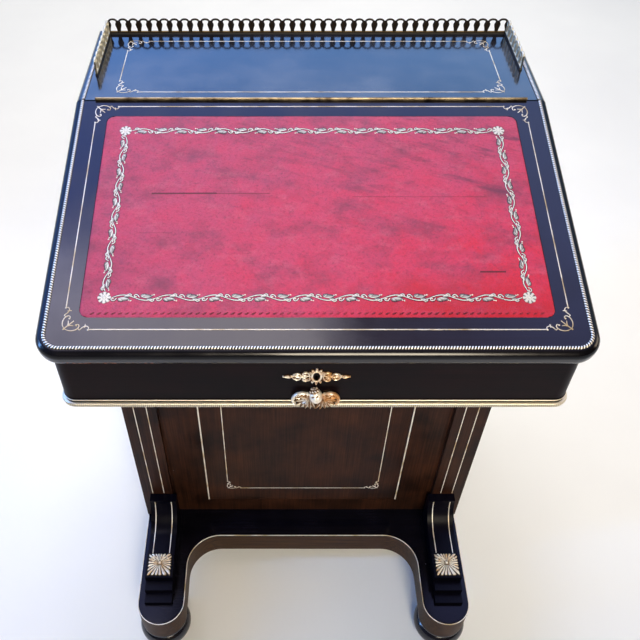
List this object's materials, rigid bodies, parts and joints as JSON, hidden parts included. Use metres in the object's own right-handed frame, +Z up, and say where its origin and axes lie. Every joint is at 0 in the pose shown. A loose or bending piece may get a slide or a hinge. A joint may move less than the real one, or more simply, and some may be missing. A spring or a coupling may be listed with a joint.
{
  "type": "davenport desk",
  "caption": "Ebonised davenport desk with a leather-lined hinged slope, brass gallery, side drawers, scroll feet and a U-shaped plinth on bun feet.",
  "frame": {"origin": "on the floor under the middle of the desk's outline", "axes": "+Z up, -Y towards the writer, +X to the side where the drawers open"},
  "size_m": [0.589, 0.5702, 0.8265],
  "materials": {
    "ebonised_wood": "polished",
    "brass": "polished",
    "red_leather": "satin",
    "drawer_wood": "matte"
  },
  "bodies": {
    "carcass": {"foot_front_left": "ebonised_wood", "foot_front_right": "ebonised_wood", "foot_back_left": "ebonised_wood", "foot_back_right": "ebonised_wood", "plinth": "ebonised_wood", "pedestal_front": "ebonised_wood", "front_tablet": "ebonised_wood", "tablet_strips": "brass", "pilaster_left": "ebonised_wood", "pilaster_right": "ebonised_wood", "pedestal_left_side": "ebonised_wood", "pedestal_back": "ebonised_wood", "front_stile": "ebonised_wood", "back_stile": "ebonised_wood", "pedestal_bottom": "drawer_wood", "dust_board_1": "drawer_wood", "dust_board_2": "drawer_wood", "dust_board_3": "drawer_wood", "scroll_foot_left": "ebonised_wood", "scroll_foot_right": "ebonised_wood", "leaf_mounts": "brass", "dummy_fronts": "ebonised_wood", "dummy_knobs": "ebonised_wood", "well_bottom": "ebonised_wood", "gadroon_band": "brass", "well_front": "ebonised_wood", "well_back": "ebonised_wood", "well_left": "ebonised_wood", "well_right": "ebonised_wood", "fitment_shelf": "drawer_wood", "drawer_divider": "drawer_wood", "pigeonhole_divider": "drawer_wood", "top_shelf": "ebonised_wood", "shelf_bead": "brass", "gallery_back": "brass", "gallery_left": "brass", "gallery_right": "brass", "hinge_shelf_leaf": "brass", "hinge_pin": "brass", "escutcheon": "brass", "winged_mount": "brass", "lock_case": "brass"},
    "lid": {"lid_board": "ebonised_wood", "leather_panel": "red_leather", "lid_bead": "brass", "hinge_lid_leaf": "brass", "strike_plate": "brass"},
    "bolt": {"lock_bolt": "brass"},
    "side_drawer_1": {"drawer_1": "drawer_wood", "drawer_1_knobs": "ebonised_wood"},
    "side_drawer_2": {"drawer_2": "drawer_wood", "drawer_2_knobs": "ebonised_wood"},
    "side_drawer_3": {"drawer_3": "drawer_wood", "drawer_3_knobs": "ebonised_wood"},
    "side_drawer_4": {"drawer_4": "drawer_wood", "drawer_4_knobs": "ebonised_wood"},
    "inner_drawer_left": {"small_drawer_left": "drawer_wood", "small_knob_left": "ebonised_wood"},
    "inner_drawer_right": {"small_drawer_right": "drawer_wood", "small_knob_right": "ebonised_wood"}
  },
  "joints": [
    {"name": "lid_hinge", "type": "hinge", "parent": "carcass", "child": "lid", "pos_m": [0, 0.09963, 0.8058], "axis": [-1, 0, 0], "range_deg": [0, 105]},
    {"name": "drawer_1_slide", "type": "slide", "parent": "carcass", "child": "side_drawer_1", "axis": [1, 0, 0], "range_m": [0, 0.32]},
    {"name": "drawer_2_slide", "type": "slide", "parent": "carcass", "child": "side_drawer_2", "axis": [1, 0, 0], "range_m": [0, 0.32]},
    {"name": "drawer_3_slide", "type": "slide", "parent": "carcass", "child": "side_drawer_3", "axis": [1, 0, 0], "range_m": [0, 0.32]},
    {"name": "drawer_4_slide", "type": "slide", "parent": "carcass", "child": "side_drawer_4", "axis": [1, 0, 0], "range_m": [0, 0.32]},
    {"name": "inner_left_slide", "type": "slide", "parent": "carcass", "child": "inner_drawer_left", "axis": [0, -1, 0], "range_m": [0, 0.1]},
    {"name": "inner_right_slide", "type": "slide", "parent": "carcass", "child": "inner_drawer_right", "axis": [0, -1, 0], "range_m": [0, 0.1]},
    {"name": "bolt_slide", "type": "slide", "parent": "carcass", "child": "bolt", "axis": [0, 0, 1], "range_m": [0, 0.009]}
  ]
}
